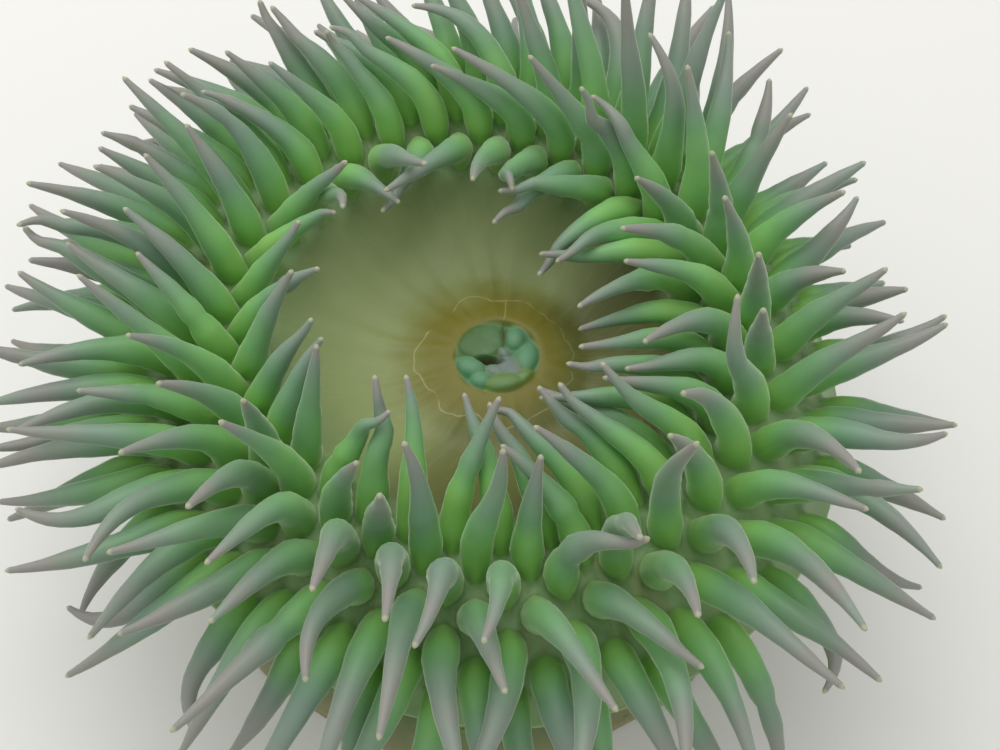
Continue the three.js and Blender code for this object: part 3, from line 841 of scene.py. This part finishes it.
def skin_finish(looks):
    """Green flesh: disc, mouth and column, and tentacles that fade to mauve-grey tips."""
    finish = Finish(bpy.data.materials.new("green_flesh"))
    mix, place, plan = finish.mix, finish.place(), finish.reading("plan", "Vector")
    along, who = finish.reading("along"), finish.reading("who")
    reach = finish.vector_maths("LENGTH", plan, "Value")
    east, north, _ = finish.split(finish.vector_maths("NORMALIZE", plan, "Vector"))
    broad = finish.noise(place, 38, 1)
    soft = finish.noise(place, 150, 2)
    rays = finish.noise(finish.join(east * 34, north * 34, reach * 0.06), 1.0, 2, 0.7)
    wobble = finish.noise(finish.join(east * 2.4, north * 2.4, 0.5), 1.0, 1, 0.45)

    # Disc: olive towards the crown, ochre round the mouth, with pale rays; browner and darker to
    # the east and south, partly its ochre and partly painted shade.
    ripple = (soft - 0.5) * 7 + (wobble - 0.5) * 6
    disc = mix((reach + ripple).step(47, 32), looks.disc_rim, looks.disc)
    disc = mix((reach + ripple).step(31, 13), disc, looks.mouth_ring)
    # Painted shade: the disc turns browner and darker towards the east and south, partly its own
    # ochre.
    shaded = (east - north * 0.8).step(-0.2, 0.6)
    disc = mix(shaded * reach.step(13, 22) * 0.9, disc, looks.disc_shade)
    disc = mix(rays.step(0.5, 0.7) * reach.step(14, 28) * 0.16, disc, looks.disc_ray)

    # Ring line: thin, wavy and broken, with a thread from it to the mouth's north side.
    ring = (reach - RING_LINE_RADIUS - (wobble - 0.5) * 8 - (soft - 0.5) * 3).size()
    ring = ring.step(0.28, 0.06) * soft.step(0.38, 0.5) * (0.5 - east.step(0.3, 0.9) * 0.2)
    thread = (east - 0.15 - (soft - 0.5) * 0.12).size().step(0.016, 0.004)
    thread = thread * north.step(0.2, 0.5) * reach.step(10, 11.5) * reach.step(18.5, 17)
    disc = mix(ring.maths("MAXIMUM", ring, thread * 0.35), disc, looks.ring_line)

    # Mouth: each lobe its own green, the pocket's dark green partly painted shade of the hollow,
    # brown in the slit.
    for name in LOBE_KINDS:
        shade = mix(soft.step(0.35, 0.7) * 0.4, getattr(looks, "lip_" + name), looks.lip_light)
        disc = mix(finish.reading(name), disc, shade)
    disc = mix(finish.reading("slit"), disc, looks.lip_slit)

    # Web between the roots: mottled green with fine pale lines running out from the mouth; its
    # greens are lifted lighter as painted light in the shaded gaps.
    web = mix(broad.step(0.35, 0.65), looks.web, looks.web_light)
    web = mix(rays.step(0.52, 0.64) * 0.6, web, looks.disc_ray)
    body = mix((reach + ripple * 0.4).step(46.5, 50.5), disc, web)

    # Tentacles: yellow-green at the root, lifted lighter as painted light against the shade between
    # the roots, greyer outwards, with mauve-grey tips and a cream nub.
    shift = (who - 0.5) * 0.2 + (broad - 0.5) * 0.5 + (soft - 0.5) * 0.15 + (reach - 68) * 0.009
    share = along + shift * along.step(0.05, 0.45) * along.step(1.0, 0.85)
    # The root stops carry painted light: their yellow-green is made lighter to offset the shade of
    # the gaps.
    flesh = finish.ramp(share, [
        (0.0, looks.root), (0.1, looks.root), (0.24, looks.bend), (0.44, looks.middle),
        (0.64, looks.shoulder), (0.86, looks.tip),
    ])
    flesh = mix(broad.step(0.5, 0.75) * along.step(0.04, 0.3) * 0.45, flesh, looks.sea_tint)
    flesh = mix(along.step(0.97, 0.988), flesh, looks.nub)
    body = mix(along.step(0.0, 0.04), body, flesh)
    colour = mix(finish.reading("column"), body, column_colour(finish, looks))
    normal = finish.bump(soft * 0.6, 0.0003, 0.5)
    return finish.flesh(colour, 0.46 + soft * 0.14, normal, 0.35)


def sucker_finish(looks):
    """The suckers: the column's olive, greener and lighter on their crowns."""
    finish = Finish(bpy.data.materials.new("sucker_flesh"))
    place = finish.place()
    spots = finish.noise(place, 300, 2)
    colour = finish.mix(spots.step(0.35, 0.65), looks.sucker, looks.column)
    colour = foot_tint(finish, looks, colour, spots * 0.012, 0.004, 0.6)
    normal = finish.bump(finish.noise(place, 1100, 2), 0.0002, 0.5)
    return finish.flesh(colour, 0.46 + spots * 0.12, normal, 0.25)


def floor_finish(colour):
    """A plain pale floor that keeps the animal's shadow."""
    finish = Finish(bpy.data.materials.new("studio_floor"))
    return finish.show(finish.node("ShaderNodeBsdfDiffuse", None, {"Color": colour}))


def studio_light(fill):
    """Even light all round, and a white background to the camera and in reflections."""
    finish = Finish(bpy.data.worlds.new("studio"), "ShaderNodeOutputWorld")
    path = finish.node("ShaderNodeLightPath").outputs
    seen = Wire(finish, path["Is Camera Ray"])
    for kind in ("Is Glossy Ray", "Is Transmission Ray"):
        seen = seen.maths("MAXIMUM", seen, path[kind])
    even = finish.node("ShaderNodeBackground", None, {"Strength": fill})
    white = finish.node("ShaderNodeBackground", None, {"Strength": 0.9})
    return finish.show(
        finish.node("ShaderNodeMixShader", None, {0: seen, 1: even.outputs[0], 2: white.outputs[0]})
    )


# ---- the user's settings


def tint(name, description, colour):
    return bpy.props.FloatVectorProperty(
        name=name, description=description, default=paint(*colour),
        subtype="COLOR", size=3, min=0, max=1,
    )


def amount(name, description, value, **limits):
    return bpy.props.FloatProperty(name=name, description=description, default=value, **limits)


def length(name, description, metres, high):
    return amount(
        name, description, metres, min=0, max=high, precision=5, subtype="DISTANCE", unit="LENGTH"
    )


class AnemoneSkinSettings(bpy.types.PropertyGroup):
    groove: length("Groove depth", "How far the skin sinks between the roots", 0.0011, 0.003)
    flute: length("Flute height", "Half the height of the column's ridges", 0.00045, 0.002)
    wrinkle: length("Wrinkle height", "Half the height of its level wrinkles", 0.0004, 0.002)


class AnemoneColours(bpy.types.PropertyGroup):
    # Yellow-green of the root, made lighter as painted light against the shade between the roots.
    root: tint("Root", "Tentacle where it leaves the skin", (138, 188, 96))
    bend: tint("Bend", "Tentacle's bulge above the root", (126, 182, 104))
    middle: tint("Middle", "Tentacle halfway along", (114, 159, 111))
    shoulder: tint("Shoulder", "Tentacle before its tip", (122, 143, 124))
    tip: tint("Tip", "Tentacle's tip", (139, 137, 130))
    nub: tint("Nub", "Blunt end of the tip", (168, 170, 142))
    sea_tint: tint("Sea green", "Patches on the tentacles", (118, 152, 132))
    # The web's greens are made lighter as painted light in the shaded gaps between the roots.
    web: tint("Web", "Skin between the roots", (122, 154, 100))
    web_light: tint("Web, light", "Lighter patches between the roots", (138, 168, 118))
    disc_rim: tint("Disc rim", "Disc next to the crown", (128, 146, 92))
    disc: tint("Disc", "Middle of the disc", (140, 152, 98))
    # Browner, darker side of the disc: partly ochre colour, partly painted shade.
    disc_shade: tint("Disc, east", "Browner side of the disc", (96, 98, 44))
    disc_ray: tint("Rays", "Fine pale lines on the disc", (154, 162, 116))
    mouth_ring: tint("Mouth ring", "Raised ring round the mouth", (114, 108, 30))
    ring_line: tint("Ring line", "Thin wavy line round the mouth", (186, 172, 136))
    # Dark green of the pocket lobe: partly its own colour, partly painted shade of the hollow.
    lip_dark: tint("Pocket", "Deep lobe of the mouth", (70, 104, 54))
    lip_teal: tint("Sea-green lobe", "Brightest lobes of the mouth", (90, 140, 104))
    lip_lime: tint("Yellow-green lobe", "Front lobes of the mouth", (100, 130, 62))
    lip_grey: tint("Grey fold", "Folds inside the mouth", (108, 120, 114))
    lip_light: tint("Lobe sheen", "Lighter patches on the lobes", (112, 148, 112))
    lip_slit: tint("Slit", "Inside of the mouth", (84, 76, 46))
    column: tint("Column", "Column's side", (104, 124, 70))
    column_dark: tint("Column, dark", "Darker patches of the column", (78, 102, 58))
    foot: tint("Foot", "Pale edge of the foot", (152, 144, 110))
    sucker: tint("Sucker", "Crowns of the column's suckers", (130, 154, 92))


class AnemoneSuckerSettings(bpy.types.PropertyGroup):
    spacing: length("Spacing", "Least distance between two suckers", 0.0034, 0.02)
    smallest: amount("Smallest", "Size of the smallest sucker", 0.55, min=0.1, max=2)
    largest: amount("Largest", "Size of the largest sucker", 1.15, min=0.1, max=2)
    seed: bpy.props.IntProperty(
        name="Seed", description="Which scatter of suckers", default=7, min=0
    )


class AnemoneStageSettings(bpy.types.PropertyGroup):
    floor: tint("Floor", "Colour of the floor", (232, 231, 227))
    elevation: amount(
        "View height", "Camera's angle above the floor", math.radians(58),
        subtype="ANGLE", unit="ROTATION",
    )
    distance: length("Distance", "From the camera to the middle of the crown", 0.40, 5)
    lens: amount("Lens", "Focal length in millimetres", 60, min=10, max=200)
    key: amount(
        "Key light", "Strength of the large soft lamp", 5.2, min=0, subtype="POWER", unit="POWER"
    )
    fill: amount("Fill light", "Strength of the even light all round", 0.87, min=0)


# ---- the pieces

DENSEST = 400000  # suckers a square metre, before their spacing thins them
FLOOR_HALF = 3
CROWN_MIDDLE = (0.0052, -0.0065, 0.080)  # where the camera and the lamps point
# The lamps: name, place, size, and share of the key light's strength.
LAMPS = (("key", (-0.08, 0.33, 1.0), 0.9, 1), ("side", (-0.75, 0.25, 0.75), 0.8, 0.2))


def in_scene(name, data):
    """A new object of a mesh, a lamp or a camera, linked into the scene."""
    thing = bpy.data.objects.new(name, data)
    bpy.context.scene.collection.objects.link(thing)
    return thing


def finished(mesh, material, *nodes, slot):
    """Puts a finished mesh in the scene, in place of its solids if it has any."""
    piece = in_scene(mesh.name, mesh)
    mesh.materials.append(material)
    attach(piece, "root")
    if nodes:
        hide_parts(*nodes)


class ANEMONE_OT_skin(bpy.types.Operator):
    """Build the whole skin: foot, column, disc, mouth and every tentacle"""

    bl_idname = "anemone.skin"
    bl_label = "Skin"

    def execute(self, context):
        sizes, looks = context.scene.anemone_skin, context.scene.anemone_colours
        mesh = build_skin_mesh(
            sizes.groove / MILLIMETRE, sizes.flute / MILLIMETRE, sizes.wrinkle / MILLIMETRE
        )
        finished(mesh, skin_finish(looks), *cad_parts, slot="tentacle_skin")
        return {"FINISHED"}


def scatter_tree(sucker, material):
    """Suckers scattered over a surface, none closer than a given spacing."""
    tree = bpy.data.node_groups.new("scatter_suckers", "GeometryNodeTree")
    for name, way, kind in (
        ("Surface", "INPUT", "Geometry"), ("Spacing", "INPUT", "Float"),
        ("Smallest", "INPUT", "Float"), ("Largest", "INPUT", "Float"),
        ("Seed", "INPUT", "Int"), ("Suckers", "OUTPUT", "Geometry"),
    ):
        tree.interface.new_socket(name, in_out=way, socket_type="NodeSocket" + kind)
    given = add_node(tree, "NodeGroupInput").outputs
    dense = add_node(tree, "GeometryNodeInputNamedAttribute", None, {"Name": "dense"})
    spread = add_node(
        tree, "GeometryNodeDistributePointsOnFaces", {"distribute_method": "POISSON"},
        {
            "Mesh": given["Surface"], "Distance Min": given["Spacing"], "Density Max": DENSEST,
            "Density Factor": dense.outputs["Attribute"], "Seed": given["Seed"],
        },
    ).outputs
    # Sockets 2 and 3 are the least and the most of a plain number, and 1 is the number drawn.
    size = add_node(
        tree, "FunctionNodeRandomValue", {"data_type": "FLOAT"},
        {2: given["Smallest"], 3: given["Largest"], "Seed": given["Seed"]},
    )
    source = add_node(tree, "GeometryNodeObjectInfo", None, {"Object": sucker})
    place = add_node(tree, "GeometryNodeInstanceOnPoints", None, {
        "Points": spread["Points"], "Rotation": spread["Rotation"],
        "Instance": source.outputs["Geometry"], "Scale": size.outputs[1],
    })
    real = add_node(tree, "GeometryNodeRealizeInstances", None, {0: place.outputs[0]})
    coat = add_node(tree, "GeometryNodeSetMaterial", None, {
        "Geometry": real.outputs[0], "Material": material,
    })
    add_node(tree, "NodeGroupOutput", None, {"Suckers": coat.outputs[0]})
    return tree


class ANEMONE_OT_suckers(bpy.types.Operator):
    """Scatter the suckers over the column"""

    bl_idname = "anemone.suckers"
    bl_label = "Column suckers"

    def execute(self, context):
        sizes, skin = context.scene.anemone_suckers, context.scene.anemone_skin
        material = sucker_finish(context.scene.anemone_colours)
        guide = in_scene(
            "column_guide", column_guide_mesh(skin.flute / MILLIMETRE, skin.wrinkle / MILLIMETRE)
        )
        sucker = in_scene("sucker", sucker_mesh())
        tree = scatter_tree(sucker, material)
        scatter = guide.modifiers.new("suckers", "NODES")
        scatter.node_group = tree
        for socket in tree.interface.items_tree:
            if socket.in_out == "INPUT" and socket.name != "Surface":
                scatter[socket.identifier] = getattr(sizes, socket.name.lower())
        evaluated = guide.evaluated_get(context.evaluated_depsgraph_get())
        mesh = bpy.data.meshes.new_from_object(evaluated)
        mesh.name = "column_suckers"
        if not mesh.polygons:
            raise RuntimeError("no suckers were scattered")
        mesh.materials.clear()
        guide.modifiers.clear()
        for used in (guide, sucker):
            bpy.data.objects.remove(used)
        finished(mesh, material, slot="column_skin")
        return {"FINISHED"}


class ANEMONE_OT_stage(bpy.types.Operator):
    """Set up the floor, the soft light and the camera"""

    bl_idname = "anemone.stage"
    bl_label = "Studio"

    def execute(self, context):
        scene, stage = context.scene, context.scene.anemone_stage
        corners = ((-1, -1, 0), (1, -1, 0), (1, 1, 0), (-1, 1, 0))
        mesh = bpy.data.meshes.new("floor")
        mesh.from_pydata([Vector(c) * FLOOR_HALF for c in corners], [], [(0, 1, 2, 3)])
        mesh.materials.append(floor_finish(tuple(stage.floor)))
        floor = in_scene("floor", mesh)

        aim = Vector(CROWN_MIDDLE)
        for name, spot, size, power in LAMPS:
            data = bpy.data.lights.new(name, "AREA")
            data.shape, data.size, data.energy = "DISK", size, stage.key * power
            lamp = in_scene(name, data)
            lamp.location = spot
            lamp.rotation_euler = (aim - lamp.location).to_track_quat("-Z", "Y").to_euler()

        scene.world = studio_light(stage.fill)
        data = bpy.data.cameras.new("camera")
        data.lens, data.sensor_width, data.clip_start = stage.lens, 36, 0.01
        camera = in_scene("camera", data)
        away = Vector((0, -math.cos(stage.elevation), math.sin(stage.elevation)))
        camera.location = aim + away * stage.distance
        camera.rotation_euler = (-away).to_track_quat("-Z", "Y").to_euler()
        scene.camera = camera
        scene.view_settings.view_transform = "Standard"
        return {"FINISHED"}


class ANEMONE_PT_panel(bpy.types.Panel):
    """Settings and build buttons of the anemone"""

    bl_idname = "ANEMONE_PT_panel"
    bl_label = "Green Sea Anemone"
    bl_space_type = "VIEW_3D"
    bl_region_type = "UI"
    bl_category = "Anemone"

    def draw(self, context):
        for operator, groups in (
            (ANEMONE_OT_skin, ("anemone_skin", "anemone_colours")),
            (ANEMONE_OT_suckers, ("anemone_suckers",)),
            (ANEMONE_OT_stage, ("anemone_stage",)),
        ):
            box = self.layout.box()
            for name in groups:
                group = getattr(context.scene, name)
                for setting in group.__annotations__:
                    box.prop(group, setting)
            box.operator(operator.bl_idname)


GROUPS = {
    "anemone_skin": AnemoneSkinSettings,
    "anemone_colours": AnemoneColours,
    "anemone_suckers": AnemoneSuckerSettings,
    "anemone_stage": AnemoneStageSettings,
}
CLASSES = (
    *GROUPS.values(), ANEMONE_OT_skin, ANEMONE_OT_suckers, ANEMONE_OT_stage, ANEMONE_PT_panel,
)


def register():
    for kind in CLASSES:
        bpy.utils.register_class(kind)
    for name, group in GROUPS.items():
        setattr(bpy.types.Scene, name, bpy.props.PointerProperty(type=group))


def unregister():
    for name in GROUPS:
        delattr(bpy.types.Scene, name)
    for kind in reversed(CLASSES):
        bpy.utils.unregister_class(kind)


def main():
    register()
    bpy.ops.anemone.stage()
    bpy.ops.anemone.skin()
    bpy.ops.anemone.suckers()


if __name__ == "__main__":
    main()
